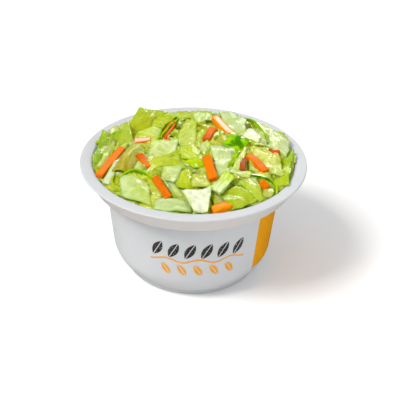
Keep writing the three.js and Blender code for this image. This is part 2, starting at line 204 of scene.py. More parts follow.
# Cabbage chips. Each lies along a line from x, y, z to x, y, z, with its width at both ends,
# its roll about that line in degrees, its bow and the skew of its cut ends; then how many of
# its corners are trimmed, its surface and its tint at both ends.
CABBAGE = [
    # Back of the heap, from left to right.
    (-30, 20, 66, -23, 35, 71.5, 11, 16, 5, 1, -3, 0, "smooth", "olive", "sage"),
    (-19, 38, 64.8, 9.5, 38.5, 64.8, 8.5, 9, 36, -0.5, 0, 0, "smooth", "pale", "pale"),
    (21.5, 19, 66.5, 20.5, 38, 68.5, 10, 15, 0, 1, 6, 0, "smooth", "mint", "mint"),
    (34, 21, 66.5, 50, 8.5, 64, 18, 15, 0, 1, -8, 0, "ribbed", "pale", "mint"),
    (-24, 24.5, 68, -13, 26, 68.5, 9, 9, 15, 1, 0, 0, "veined", "lime", "yellow_green"),
    (-30, 12, 67.5, -17, 14, 69, 5, 9, 15, 1, 0, 1, "veined", "lime", "pale"),
    (-45.5, 19.5, 65, -40.5, 22.5, 66, 4.5, 4.5, 30, 0.5, 0, 1, "smooth", "pearl", "beige"),
    (0, 30, 68.5, 9.5, 34.5, 68.5, 8.5, 7.5, 15, 1.5, 0, 0, "crinkled", "mint", "pale"),
    (2, 20, 67.5, 8, 24, 67.5, 10, 8, 0, 1, 0, 1, "crinkled", "olive", "olive"),
    (12, 10, 68, 18, 6, 68, 8, 9, 0, 1, 0, 1, "smooth", "beige", "bronze"),
    (-4.5, 0, 67.5, -2, 24, 71, 11.5, 6.5, -5, 1, 3.5, 0, "veined", "pale", "lime"),
    # Left side, standing against the wall.
    (-46, 16.5, 66, -49, -10, 61.5, 8, 6.5, -25, 0.5, 0, 0, "smooth", "sage", "leaf_green"),
    (-42, 10, 65.5, -47.5, -15, 62, 4.5, 4.5, -30, 1, 0, 0, "ribbed", "beige", "pale"),
    (-35.5, 4, 66, -36.5, 22, 70, 8.5, 1.5, 0, 1.5, 1, 0, "smooth", "sage", "sage"),
    (-42.5, 12, 64.5, -36.5, 14, 66.5, 8, 14, 0, 1, 0, 1, "smooth", "sage", "lime"),
    (-36, -0.5, 66.5, -43, -29, 62.5, 1.5, 4.5, -10, 0.5, 0, 0, "smooth", "mint", "white"),
    (-30, 1.5, 66.5, -36.5, -21.5, 64, 10, 12.5, 12, 1.5, 0, 0, "domed", "beige", "bronze"),
    (-37.5, -22, 62.5, -39.5, -33, 61, 7, 6, 0, 0.5, 0, 0, "smooth", "olive", "cream"),
    # Middle.
    (-23, -7, 68, -9, -5, 69.5, 18.5, 14, 8, -1, 4, 0, "crinkled", "pale", "mint"),
    (-24, -19, 66.5, -6.5, -13, 68.5, 6, 8, 15, 1, 0, 0, "smooth", "cream", "lime"),
    (-8, -7, 68.3, 3, -8, 68.7, 10, 13, 8, 1, 0, 1, "veined", "lime", "lime"),
    (-2, -14.5, 69, 3.5, -21, 68, 8, 8, 0, 1, 0, 0, "smooth", "bright", "bright"),
    (-16, -25, 66.5, -7, -28, 67, 8, 13, 16, 1, 0, 0, "cupped", "pale", "mint"),
    (-3, -22, 67.2, -4, -36, 65.5, 5, 7.5, 0, 1, 0, 0, "smooth", "lime", "yellow_green"),
    (1.5, -24.5, 67, 5, -35.5, 65.5, 6, 11, 0, 1, 1, 0, "smooth", "beige", "beige"),
    (3, -2, 68.5, 9.5, -4, 68.3, 12, 9, 6, 1, 0, 1, "crinkled", "mint", "lime"),
    (15, 1.5, 68.5, 15, -24, 67, 15, 5, -8, 1, -3, 0, "smooth", "mint", "mint"),
    # Right side.
    (36, 8, 65, 37, -18, 64, 14, 18, -8, 1, 0, 1, "crinkled", "cream", "pale"),
    (48.5, 8, 62, 43.5, -25, 61.5, 9, 9, 15, 1, 0, 0, "smooth", "leaf_green", "lime"),
    (31, 9.5, 65, 39, 11, 64.5, 6, 6, 0, 1, 0, 1, "crinkled", "cream", "beige"),
    (27, -6, 64.5, 29, -17, 64, 8, 7, 0, 0.5, 0, 1, "smooth", "bronze", "beige"),
    (27, 2.5, 67, 20.5, -19.5, 66, 2.5, 6, 5, 1, 0, 0, "ribbed", "cream", "pale"),
    # Front, from left to right.
    (-38, -31, 60.5, -31, -38.5, 60.3, 5, 5, 0, 0.5, 0, 0, "smooth", "pale", "pale"),
    (-35.5, -32, 63, -20.5, -38, 63.5, 15, 16, 12, 1, -9, 0, "smooth", "mint", "pale"),
    (-18, -46, 61.6, 0, -47.5, 61.8, 8, 7, 20, 1, 0, 0, "smooth", "mint", "mint"),
    (-13.5, -30, 66, -6.5, -41.5, 63.5, 3.5, 4.5, 0, 1, 0, 0, "cupped", "white", "lime"),
    (2, -37.5, 65.5, 4.5, -52, 61.8, 15, 6.5, 0, 1, 0, 0, "crinkled", "white", "white"),
    (10, -43, 62.5, 16, -41, 63, 6, 6, 10, 1, 0, 0, "smooth", "olive", "pearl"),
    (18, -36, 65, 26, -45.5, 62, 14, 15.5, 0, 1, 0, 0, "smooth", "lime", "lime"),
    (27, -26.5, 65.8, 33.5, -40, 61.8, 10, 3, 0, 0.5, 0, 0, "smooth", "pale", "lime"),
    (36, -29, 62.5, 37, -36, 61, 9, 5, 0, 1, 0, 0, "smooth", "beige", "beige"),
]

# Thick ribs of cabbage, in the same form.
RIBS = [
    (27, 19.5, 66.8, 35, 14.5, 66.2, 11, 10, 0, 0.5, -3, 0, "ribbed", "white", "white"),
    (18.5, -26.5, 67.8, 11, -39.5, 65.6, 7.5, 8, 8, 0.5, 3, 0, "ribbed", "bright", "white"),
    (18, -21.5, 66.5, 28.5, -24, 65.3, 3.5, 3.5, 10, 0.3, 0, 0, "ribbed", "mint", "beige"),
]

# Pieces of green pepper wall, in the same form.
PEPPER = [
    (17, 8, 69.6, 26, 3, 66.3, 11.3, 12.8, 8, 0.8, 0, 0, "smooth", "pepper", "pepper"),
    (22, -4, 67, 17.5, -19, 66.8, 3, 2, 40, 0.5, 0, 0, "smooth", "pepper", "olive"),
    (-44.5, 15.5, 65.5, -39.5, 17.5, 66.5, 2, 2, 30, 0, 0, 0, "smooth", "pepper", "pepper"),
]

# Carrot sticks: from x, y, z to x, y, z, width, thickness, roll, the radius of their edges,
# how pale their middle is, which is pale core and partly painted highlight, and the tint at both
# ends.
CARROT = [
    (-37, -0.5, 66.5, -47, -22.5, 62.5, 4, 2.8, 0, 0.3, 0.06, "carrot", "carrot"),
    (-31.5, 5, 67.3, -22.5, 6.7, 68, 4, 3.8, 20, 1.3, 0.8, "carrot_red", "carrot"),
    (-11, 25, 70, -16.5, 6, 68.3, 4.2, 3, 0, 0.4, 0, "carrot", "carrot_red"),
    (-15, 5.5, 68.6, -11.5, 3.5, 68.4, 3.5, 2.4, 0, 0.4, 0, "carrot", "carrot"),
    (25.5, -25, 65.2, 27.5, -26.5, 65, 1.6, 1.4, 0, 0.3, 0, "carrot_brown", "carrot_brown"),
    (-28, -8.5, 67.2, -22, -19, 66.2, 4, 2.8, 0, 0.3, 0, "carrot_red", "carrot"),
    (-18.5, -28.5, 66.2, -11, -43, 63.4, 4, 3.2, 15, 0.3, 0, "carrot_dull", "carrot_dull"),
    (10, -49.5, 61.2, 19, -45.5, 62.4, 5, 3.8, 0, 1.1, 0.1, "carrot_bright", "carrot_bright"),
    (35, -26.5, 62.5, 35, -30, 64.8, 4.4, 4.4, 45, 0.3, 0, "carrot_bright", "carrot"),
    (28, -6, 67.5, 36.5, -18.5, 65.6, 4.2, 2.8, 0, 0.3, 0, "carrot", "carrot"),
    (42.5, 4, 63, 42.5, 1, 65, 5, 5, 0, 1.5, 0.8, "carrot_brown", "carrot_red"),
    (39, 4, 66, 41, 3, 65.8, 1.5, 1.4, 0, 0.4, 0, "carrot_brown", "carrot_brown"),
    (10.5, 31, 69.5, 19.5, 15, 67.7, 4.4, 3.6, 0, 0.5, 0.9, "carrot_bright", "carrot_bright"),
    (10, 18.5, 69.5, 6, 5.5, 69, 4.4, 4, 0, 1.2, 0, "carrot", "carrot_red"),
    (7, -12.3, 69.3, 10.4, -30, 66.8, 4.6, 4, 20, 0.4, 0, "carrot", "carrot"),
    (25.5, -9.5, 67, 24.5, -20.5, 66.6, 2.8, 2.6, 0, 0.3, 0, "carrot_brown", "carrot_brown"),
]

# Curved strips standing on edge: start, middle and end x, y, z, height at both ends and tint.
STRIPS = [
    (28, 33.5, 68, 35.5, 22, 68.5, 38, 9, 67.2, 3, 2.4, "pepper_light"),
    (-18, 5.5, 70.2, -16.5, 15, 71, -12.5, 22, 71.4, 1.5, 1.6, "pepper"),
    (-12.5, 22, 71.4, -10, 25.5, 71.6, -11, 21, 71.5, 1.6, 1.6, "pepper"),
    (-17, 5.5, 70.4, -14, 14, 71, -11, 21, 71.5, 1.3, 1.3, "pepper"),
    (-36, -26.5, 64.3, -28, -23, 66, -19.5, -30.5, 64.8, 2.6, 3.2, "pepper_light"),
    (28, -23, 66.2, 38.5, -25, 64, 41, -33, 61.4, 1.5, 3.2, "pepper"),
]

# Curled strips of cabbage, in the same form.
CURLS = [
    (-40, -24, 63.5, -39.5, -31, 62.4, -33.5, -35, 62, 3.2, 3.2, "yellow_green"),
]

CORNERS = [(1, 1), (1, -1), (-1, 1), (-1, -1)]
FILLER_TINTS = ["olive", "lime", "lime", "yellow_green", "cream", "pale", "leaf_green"]


# ---------------------------------------------------------------------------------------
# Camera, light and floor
# ---------------------------------------------------------------------------------------

def turned_to(forward, roll):
    """The rotation of a camera or light that looks along forward, rolled about that line."""
    return forward.to_track_quat("-Z", "Y") @ Quaternion((0, 0, 1), roll)


def make_camera():
    """A long lens in front of the tub that looks down on the heap."""
    elevation = math.radians(32.32)
    roll = math.radians(-1.63)
    distance = 500
    target = Vector((3.9, 0, 36.2))
    forward = Vector((0, math.cos(elevation), -math.sin(elevation)))
    camera = bpy.data.objects.new("camera", bpy.data.cameras.new("camera"))
    camera.data.lens = 83.94
    camera.data.sensor_width = 36
    camera.rotation_mode = "QUATERNION"
    camera.rotation_quaternion = turned_to(forward, -roll)
    camera.location = (target - distance * forward) * MM
    bpy.context.scene.collection.objects.link(camera)
    bpy.context.scene.camera = camera


def make_light(name, direction, distance, size, power, colour):
    """A square area light that shines on the tub from direction; gives back its object."""
    away = Vector(direction).normalized()
    light = bpy.data.objects.new(name, bpy.data.lights.new(name, "AREA"))
    light.data.size = size
    light.data.energy = power
    light.data.color = colour
    light.rotation_mode = "QUATERNION"
    light.rotation_quaternion = turned_to(-away, 0)
    light.location = away * distance
    bpy.context.scene.collection.objects.link(light)
    return light


def make_stage():
    """An even sky, three area lights and a wide paper floor."""
    warm_white = (1, 0.985, 0.95)
    cool_white = (0.97, 0.985, 1)
    scene = bpy.context.scene
    scene.view_settings.view_transform = "Standard"
    world = bpy.data.worlds.new("studio")
    world.use_nodes = True
    tree = world.node_tree
    background = tree.nodes["Background"]
    background.inputs["Color"].default_value = (*cool_white, 1)
    world.cycles_visibility.glossy = False
    scene.world = world
    sky = tree.nodes.new("ShaderNodeTexCoord")
    axes = tree.nodes.new("ShaderNodeSeparateXYZ")
    tree.links.new(sky.outputs["Generated"], axes.inputs[0])
    to_right = Number(tree, axes.outputs["X"])
    up = Number(tree, axes.outputs["Z"]).most(0)
    strength = 0.42 + 0.4 * up * up + 0.12 * to_right
    plug(tree, background.inputs["Strength"], strength)
    make_light(
        "key", direction=(-41, -21, 58), distance=2, size=0.75, power=36, colour=warm_white
    )
    fill = make_light(
        "fill", direction=(45, -35, 30), distance=2, size=1.4, power=9, colour=cool_white
    )
    fill.visible_glossy = False
    gloss = make_light(
        "gloss", direction=(12, 60, 42), distance=1, size=0.24, power=2.4, colour=(1, 1, 1)
    )
    gloss.visible_diffuse = False

    paper = Shader("paper")
    paper.feed(Base_Color=(0.92, 0.91, 0.905, 1), Roughness=0.9, Specular_IOR_Level=0)
    half_width = 2500
    bm = bmesh.new()
    bmesh.ops.create_grid(bm, x_segments=1, y_segments=1, size=half_width)
    floor = finished(bm, "floor", paper.material)
    floor.visible_glossy = False


# ---------------------------------------------------------------------------------------
# Shader maths
# ---------------------------------------------------------------------------------------

class Number:
    """A node's output, so that maths on it is written as a Python expression."""

    def __init__(self, tree, socket):
        self.tree = tree
        self.socket = socket

    def math(self, operation, *values):
        """The output of a maths node that is fed with the values."""
        node = self.tree.nodes.new("ShaderNodeMath")
        node.operation = operation
        for slot, value in zip(node.inputs, values):
            plug(self.tree, slot, value)
        return Number(self.tree, node.outputs[0])

    def __add__(self, other):
        return self.math("ADD", self, other)

    def __sub__(self, other):
        return self.math("SUBTRACT", self, other)

    def __rsub__(self, other):
        return self.math("SUBTRACT", other, self)

    def __mul__(self, other):
        return self.math("MULTIPLY", self, other)

    def __truediv__(self, other):
        return self.math("DIVIDE", self, other)

    __radd__ = __add__
    __rmul__ = __mul__

    def sine(self):
        return self.math("SINE", self)

    def root(self):
        return self.math("SQRT", self)

    def fraction(self):
        return self.math("FRACT", self)

    def size(self):
        return self.math("ABSOLUTE", self)

    def least(self, other):
        return self.math("MINIMUM", self, other)

    def most(self, other):
        return self.math("MAXIMUM", self, other)

    def clipped(self):
        return self.most(0).least(1)


def plug(tree, slot, value):
    """Links a Number to a node's input, or sets the input to a plain value."""
    if isinstance(value, Number):
        tree.links.new(value.socket, slot)
    else:
        slot.default_value = value


class Shader:
    """A material, its Principled shader and the nodes that feed it."""

    def __init__(self, name):
        self.material = bpy.data.materials.new(name)
        self.material.use_nodes = True
        self.tree = self.material.node_tree
        self.shader = self.tree.nodes["Principled BSDF"]

    def node(self, kind, settings, sockets, output=0):
        """An output of a new node with those settings and values in its sockets."""
        node = self.tree.nodes.new(kind)
        for name, value in settings.items():
            setattr(node, name, value)
        for name, value in sockets.items():
            plug(self.tree, node.inputs[name], value)
        return Number(self.tree, node.outputs[output])

    def feed(self, **inputs):
        """Feeds inputs of the Principled shader, with _ for each space in their names."""
        for name, value in inputs.items():
            plug(self.tree, self.shader.inputs[name.replace("_", " ")], value)

    def place(self):
        """Object coordinates in millimetres."""
        coords = self.node("ShaderNodeTexCoord", {}, {}, "Object")
        return self.stretched(coords, (1 / MM, 1 / MM, 1 / MM))

    def grown(self):
        """Coordinates in millimetres along and across a piece of food."""
        return self.node("ShaderNodeUVMap", {"uv_map": "grown"}, {})

    def attribute(self, name, output):
        return self.node("ShaderNodeAttribute", {"attribute_name": name}, {}, output)

    def stretched(self, vector, factors):
        return self.node("ShaderNodeVectorMath", {"operation": "MULTIPLY"}, {0: vector, 1: factors})

    def tuned(self, colour, saturation, value):
        """The colour with its saturation and brightness multiplied."""
        sockets = {"Saturation": saturation, "Value": value, "Color": colour}
        return self.node("ShaderNodeHueSaturation", {}, sockets)

    def axes(self, vector):
        return [self.node("ShaderNodeSeparateXYZ", {}, {0: vector}, axis) for axis in "XYZ"]

    def noise(self, vector, size, detail=2, distortion=0):
        """Noise from about 0 to 1, with features of the given size in the vector's units."""
        sockets = {"Vector": vector, "Scale": 1 / size, "Detail": detail}
        return self.node("ShaderNodeTexNoise", {}, sockets | {"Distortion": distortion})

    def blend(self, share, first, second):
        """A colour that goes from first to second as share goes from 0 to 1."""
        sockets = {0: share, 6: first, 7: second}
        return self.node("ShaderNodeMix", {"data_type": "RGBA"}, sockets, 2)

    def bump(self, height, distance, strength):
        """A normal from a height that is worth distance in millimetres."""
        sockets = {"Height": height, "Distance": distance * MM, "Strength": strength}
        return self.node("ShaderNodeBump", {}, sockets)


def linear(name):
    """A named tint as a linear colour with its alpha."""
    def channel(value):
        share = value / 255
        return share / 12.92 if share <= 0.04045 else ((share + 0.055) / 1.055) ** 2.4
    return (*(channel(value) for value in TINTS[name]), 1)


# ---------------------------------------------------------------------------------------
# Materials
# ---------------------------------------------------------------------------------------

def tub_plastic():
    """White polypropylene with a printed garland of leaves and an orange band."""
    made = Shader("tub plastic")
    place = made.place()
    x, y, z = made.axes(place)
    arc = x.math("ARCTAN2", x, 0 - y) * PRINT_RADIUS
    radius = (x * x + y * y).root()

    def inside(distance):
        """1 where the distance in millimetres is over 0, with a soft edge."""
        return (distance / PRINT_SOFTNESS + 0.5).clipped()

    def within(value, limits):
        """How far the value lies inside its two limits."""
        return (value - limits[0]).least(limits[1] - value)

    def leaves(first_arc, centre_height, tilt, half_length, half_width):
        """How far a point lies inside a row of tilted leaves, and clear of their midribs."""
        cell = ((arc - first_arc) / LEAF_PITCH).fraction() * LEAF_PITCH - LEAF_PITCH / 2
        up = z - centre_height
        cos = math.cos(math.radians(tilt))
        sin = math.sin(math.radians(tilt))
        along = cell * cos + up * sin
        across = (up * cos - cell * sin).size()
        share = along / half_length
        edge = half_width * (1 - share * share) - across
        return edge.least(across - VEIN_HALF_WIDTH)

    # The orange band, from the front right to just behind the tub's right side.
    band = inside(within(arc, BAND_ARCS).least(within(z, BAND_HEIGHTS)))

    # The garland: a wavy stem with leaves above it and smaller ones below.
    wave = STEM_WAVE * (arc * (math.pi / LEAF_PITCH)).sine()
    stem = STEM_HALF_WIDTH - (z - STEM_HEIGHT - wave).size()
    upper = leaves(GARLAND_ARCS[0], centre_height=33.4, tilt=62, half_length=5.6, half_width=2.5)
    lower = leaves(LOWER_ARCS[0], centre_height=21, tilt=-58, half_length=4.6, half_width=1.9)
    in_garland = inside(within(arc, GARLAND_ARCS))
    dark = inside(upper) * in_garland
    bright = inside(lower) * inside(within(arc, LOWER_ARCS))
    bright = bright.most(inside(stem) * in_garland)

    # The garland is a little worn; the band is whole.
    wear = (8 * (made.noise(place, 0.55, 3) - 0.28)).clipped()
    dark = dark * wear
    bright = (bright * wear).most(band)

    # The plastic's own tone with faint cloudiness, and on the collar painted warm reflected light.
    painted_light_on_collar = inside(radius - PAINTED_LIGHT_RADIUS) * inside(PAINTED_LIGHT_TOP - z)
    plain = made.blend(made.noise(place, 22, 2), PLASTIC, PLASTIC_LIGHT)
    tone = made.blend(painted_light_on_collar * 0.8, plain, PLASTIC_COLLAR_PAINTED_LIGHT)
    ink = made.blend(made.noise(place, 6, 2), linear("ink"), linear("ink_deep"))
    tone = made.blend(bright, tone, ink)
    tone = made.blend(dark, tone, linear("ink_dark"))

    printed = dark.most(bright)
    grain = made.noise(place, 0.7, 3)
    made.feed(
        Base_Color=tone,
        Roughness=0.42 + 0.1 * grain - 0.1 * printed,
        Normal=made.bump(grain + 0.3 * printed, 0.03, 0.5),
        Specular_IOR_Level=0.12,
        Subsurface_Weight=0.15,
        Subsurface_Scale=1.5 * MM,
    )
    return made.material


def leaf_skin():
    """Wet cabbage leaf: its tint, which holds painted shade where a chip lies low, paler on veins,
    and on the crests of crinkles as painted highlight, with darker cut edges.
    """
    made = Shader("cabbage leaf")
    place = made.place()
    tint = made.attribute("tint", "Color")
    edge = made.attribute("edge", "Fac")
    pale_and_painted_highlight = made.attribute("pale_and_painted_highlight", "Fac")
    mottle = made.noise(place, 4.5, 3, 0.5)
    streaks = made.noise(made.stretched(made.grown(), (0.3, 1.3, 1)), 1.8, 3, 0.6)
    pale = made.tuned(tint, 0.88, 1.16)
    deep = made.tuned(tint, 1.3, 0.84)
    tone = made.blend((3 * mottle - 1).clipped(), deep, tint)
    # Paler along streaks and veins, and on crinkle crests as painted highlight.
    vein_and_painted_highlight_share = (4 * streaks - 2).clipped() * 0.5 + pale_and_painted_highlight * 0.8
    tone = made.blend(vein_and_painted_highlight_share.clipped(), tone, pale)
    tone = made.blend(edge * 0.55, tone, linear("leaf_edge"))
    fine = made.noise(place, 1.1, 3)
    soft = made.noise(place, 3, 2)
    made.feed(
        Base_Color=tone,
        Roughness=0.07 + 0.22 * fine,
        Normal=made.bump(0.6 * streaks + 0.4 * fine + 1.4 * soft, 0.4, 0.8),
        Specular_IOR_Level=0.32,
        Subsurface_Weight=0.7,
        Subsurface_Scale=2.5 * MM,
        Subsurface_Radius=(0.8, 1, 0.12),
    )
    return made.material


def carrot_flesh():
    """Wet carrot: its tint with paler fibres along the stick, a pale core on its cut ends and a
    pale stripe down its middle that is partly painted highlight.
    """
    made = Shader("carrot")
    tint = made.attribute("tint", "Color")
    core = made.attribute("pale_and_painted_highlight", "Fac")
    streaks = made.noise(made.stretched(made.grown(), (0.3, 2, 1)), 1.2, 3, 0.5)
    pale = made.tuned(tint, 1, 1.15)
    deep = made.tuned(tint, 1.05, 0.8)
    tone = made.blend((3 * streaks - 1.1).clipped(), deep, tint)
    tone = made.blend((4 * streaks - 2.2).clipped() * 0.7, tone, pale)
    # Pale core, and along the stick partly painted highlight.
    core_and_painted_highlight_share = (core * (0.55 + streaks)).clipped()
    tone = made.blend(core_and_painted_highlight_share, tone, linear("carrot_pale_and_painted_highlight"))
    fine = made.noise(made.place(), 0.8, 3)
    made.feed(
        Base_Color=tone,
        Roughness=0.22 + 0.3 * fine,
        Normal=made.bump(streaks + 0.3 * fine, 0.2, 0.5),
        Specular_IOR_Level=0.08,
        Subsurface_Weight=0.3,
        Subsurface_Scale=1.2 * MM,
        Subsurface_Radius=(1, 0.45, 0.05),
    )
    return made.material


def pepper_wall():
    """Green pepper: dark glossy skin with paler spots, and paler flesh at the cut edges."""
    made = Shader("green pepper")
    tint = made.attribute("tint", "Color")
    edge = made.attribute("edge", "Fac")
    place = made.place()
    mottle = made.noise(place, 5, 2)
    deep = made.tuned(tint, 1.1, 0.6)
    tone = made.blend((4 * mottle - 1.5).clipped(), deep, tint)
    tone = made.blend((7 * mottle - 3.4).clipped(), tone, linear("pepper_flesh"))
    tone = made.blend(edge * 0.6, tone, linear("pepper_flesh"))
    made.feed(
        Base_Color=tone,
        Roughness=0.08 + 0.15 * mottle,
        Normal=made.bump(made.noise(place, 4, 2), 0.4, 0.5),
        Specular_IOR_Level=0.3,
        Coat_Weight=0.2,
        Coat_Roughness=0.05,
        Subsurface_Weight=0.3,
        Subsurface_Scale=1.5 * MM,
        Subsurface_Radius=(0.4, 1, 0.1),
    )
    return made.material


def packed_salad_in_painted_shade():
    """The salad below the chips, seen only in the gaps between them; its saturated yellow-olive is
    painted shade of those gaps.
    """
    made = Shader("packed salad in painted shade")
    place = made.place()
    patches = made.noise(place, 4.5, 3, 1)
    # The core's colour is painted shade of the gaps.
    tone = made.blend((3 * patches - 1).clipped(), linear("packed_painted_shade"), linear("packed_painted_shade_pale"))
    made.feed(Base_Color=tone, Roughness=0.4, Normal=made.bump(patches, 0.8, 0.8))
    return made.material


# ---------------------------------------------------------------------------------------
# Meshes
# ---------------------------------------------------------------------------------------

def finished(bm, name, material, smooth_below=None):
    """The object made of a bmesh in millimetres, smooth where faces meet below that angle."""
    bmesh.ops.transform(bm, matrix=Matrix.Scale(MM, 4), verts=bm.verts)
    mesh = bpy.data.meshes.new(name)
    bm.to_mesh(mesh)
    bm.free()
    mesh.materials.append(material)
    if smooth_below is not None:
        mesh.shade_smooth()
        mesh.set_sharp_from_angle(angle=math.radians(smooth_below))
    piece = bpy.data.objects.new(name, mesh)
    bpy.context.scene.collection.objects.link(piece)
    return piece


def new_piece_mesh():
    """An empty bmesh with the layers that every piece of food has."""
    bm = bmesh.new()
    bm.loops.layers.uv.new("grown")
    bm.verts.layers.float_color.new("tint")
    bm.verts.layers.float.new("edge")
    bm.verts.layers.float.new("pale_and_painted_highlight")
    return bm


def merged(parts):
    """One bmesh that holds copies of many."""
    whole = new_piece_mesh()
    for part in parts:
        mesh = bpy.data.meshes.new("part")
        part.to_mesh(mesh)
        whole.from_mesh(mesh)
        bpy.data.meshes.remove(mesh)
    return whole


def add_food(parts, name, material, smooth_below):
    """A piece of the salad made of many small bmeshes."""
    piece = finished(merged(parts), name, material, smooth_below)
    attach(piece, "root")
    return piece


def tuck_under(parts, covers, clearance):
    """Lowers what would show through or stand above the covers to clearance below them."""
    cover = BVHTree.FromBMesh(merged(covers))
    down = Vector((0, 0, -1))
    overhead = 100
    for part in parts:
        for vert in part.verts:
            hit = cover.ray_cast(Vector((vert.co.x, vert.co.y, overhead)), down)[0]
            if hit:
                vert.co.z = min(vert.co.z, hit.z - clearance)


def thickened(bm, thickness):
    """Gives an open sheet a back at thickness below it and closes its sides."""
    bm.normal_update()
    made = bmesh.ops.extrude_face_region(bm, geom=bm.faces[:], use_keep_orig=True)
    for item in made["geom"]:
        if isinstance(item, bmesh.types.BMVert):
            item.co -= item.normal * thickness
    bmesh.ops.recalc_face_normals(bm, faces=bm.faces)


def slice_at(bm, point, normal, clear_outer=False):
    """Cuts the edges and faces of a bmesh along a plane, and may clear what is beyond it."""
    bmesh.ops.bisect_plane(
        bm,
        geom=bm.verts[:] + bm.edges[:] + bm.faces[:],
        plane_co=point,
        plane_no=normal,
        clear_outer=clear_outer,
    )


def lay_out(bm, flat):
    """Gives each face corner the place along and across the piece that flat has for it."""
    grown = bm.loops.layers.uv["grown"]
    for face in bm.faces:
        for loop in face.loops:
            loop[grown].uv = flat[loop.vert]


def filleted(corners):
    """The outline through corners of radius, height and fillet radius."""
    points = []
    for i, (radius, height, fillet) in enumerate(corners):
        corner = Vector((radius, height))
        if not fillet:
            points.append(corner)
            continue
        before = (Vector(corners[i - 1][:2]) - corner).normalized()
        after = (Vector(corners[i + 1][:2]) - corner).normalized()
        half_angle = before.angle(after) / 2
        middle = corner + (before + after).normalized() * fillet / math.sin(half_angle)
        first = corner + before * fillet / math.tan(half_angle) - middle
        last = corner + after * fillet / math.tan(half_angle) - middle
        for step in range(FILLET_STEPS + 1):
            turned = first.slerp(last, step / FILLET_STEPS)
            points.append(middle + turned.normalized() * fillet)
    return points


def spun(outline, steps):
    """A bmesh of the outline of radius and height spun about the Z axis."""
    bm = bmesh.new()
    verts = [bm.verts.new((radius, 0, height)) for radius, height in outline]
    edges = [bm.edges.new(pair) for pair in zip(verts, verts[1:])]
    bmesh.ops.spin(
        bm,
        geom=verts + edges,
        cent=(0, 0, 0),
        axis=(0, 0, 1),
        dvec=(0, 0, 0),
        angle=2 * math.pi,
        steps=steps,
        use_merge=True,
    )
    bmesh.ops.remove_doubles(bm, verts=bm.verts, dist=1e-4)
    bmesh.ops.recalc_face_normals(bm, faces=bm.faces)
    return bm


# ---------------------------------------------------------------------------------------
# Tub
# ---------------------------------------------------------------------------------------

def body_radius(z):
    """Outer radius of the tub's body at height z."""
    straight = BODY_TOP_RADIUS - BODY_SLOPE * (COLLAR_BOTTOM - z)
    below = max(0, (SHOULDER_TOP - z) / (SHOULDER_TOP - FOOT_HEIGHT))
    return straight - SHOULDER_IN * below * below


def body_line(inset):
    """Corners of the wall from the foot up to the mouth, moved inwards by inset."""
    shoulder_steps = 12
    rise = (SHOULDER_TOP - FOOT_HEIGHT) / shoulder_steps
    heights = [FOOT_HEIGHT + rise * step for step in range(shoulder_steps + 1)]
    return [(body_radius(z) - inset, z, 0) for z in [*heights, COLLAR_BOTTOM - FLARE_DROP]]


def make_tub(material):
    """The whole tub, as one outline of radius, height and fillet spun about its axis."""
    collar_top = TUB_HEIGHT - WALL
    foot_inner = FOOT_RADIUS - FOOT_WIDTH
    outside = [
        (0, BASE_LIFT, 0),
        (foot_inner - BASE_LIFT, BASE_LIFT, 0),
        (foot_inner, 0, 0.3),
        (FOOT_RADIUS, 0, 0.6),
        (FOOT_RADIUS, FOOT_HEIGHT, 0.5),
        *body_line(0),
        (MOUTH_RADIUS + WALL, TUB_HEIGHT - MOUTH_ROUND, 0),
        (MOUTH_RADIUS + MOUTH_ROUND, collar_top, 0),
        (RIM_RADIUS - LIP - WALL, collar_top, 0),
        (COLLAR_RADIUS - WALL, COLLAR_BOTTOM, 0.2),
        (COLLAR_RADIUS, COLLAR_BOTTOM, 0.4),
        (RIM_RADIUS - LIP, collar_top - 0.2, 0.4),
        (RIM_RADIUS, collar_top, 0.2),
        (RIM_RADIUS, TUB_HEIGHT, 0.6),
        (MOUTH_RADIUS, TUB_HEIGHT, MOUTH_ROUND),
    ]
    inside = [*reversed(body_line(WALL)), (FOOT_RADIUS - WALL, FLOOR, 1), (0, FLOOR, 0)]
    bm = spun(filleted(outside + inside), TUB_STEPS)
    tub = finished(bm, "tub_shell", material, TUB_SMOOTH)
    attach(tub, "root")
    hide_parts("tub")


# ---------------------------------------------------------------------------------------
# Heap
# ---------------------------------------------------------------------------------------

def heap_height(x, y):
    """Height of the heap's even surface over the point x, y."""
    share = min((x * x + y * y) / MOUTH_RADIUS**2, 1)
    return HEAP_EDGE + HEAP_CROWN * (1 - share) + HEAP_LEAN * y


def mouth_radius(z):
    """Radius of the tub's inside at height z, above the body."""
    top = TUB_HEIGHT - MOUTH_ROUND
    share = (z - COLLAR_BOTTOM + FLARE_DROP) / (top - COLLAR_BOTTOM + FLARE_DROP)
    return BODY_TOP_RADIUS - WALL + (MOUTH_RADIUS - BODY_TOP_RADIUS + WALL) * min(share, 1)


def make_core(material):
    """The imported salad, from the tub's floor up to an uneven crown."""
    edge_height = HEAP_EDGE - CORE_DROP
    edge_radius = mouth_radius(edge_height) - GAP
    outline = [(0, FLOOR + GAP)]
    outline += [(radius, z) for radius, z, _ in body_line(WALL + GAP)]
    for ring in range(CORE_RINGS + 1):
        radius = edge_radius * (1 - ring / CORE_RINGS)
        outline.append((radius, heap_height(radius, 0) - CORE_DROP))
    bm = spun(outline, CORE_STEPS)
    for vert in bm.verts:
        x, y, z = vert.co
        if z > edge_height - GAP:
            ripple = noise.noise(vert.co / 4) + 0.5 * noise.noise(vert.co / 1.7)
            lift = min(1, (edge_radius - math.hypot(x, y)) / CORE_FADE)
            vert.co.z += HEAP_LEAN * y - BACK_DROP * max(0, y) + CORE_RIPPLE * ripple * lift
    core = finished(bm, "packed_core", material, CORE_SMOOTH)
    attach(core, "root")
    return core


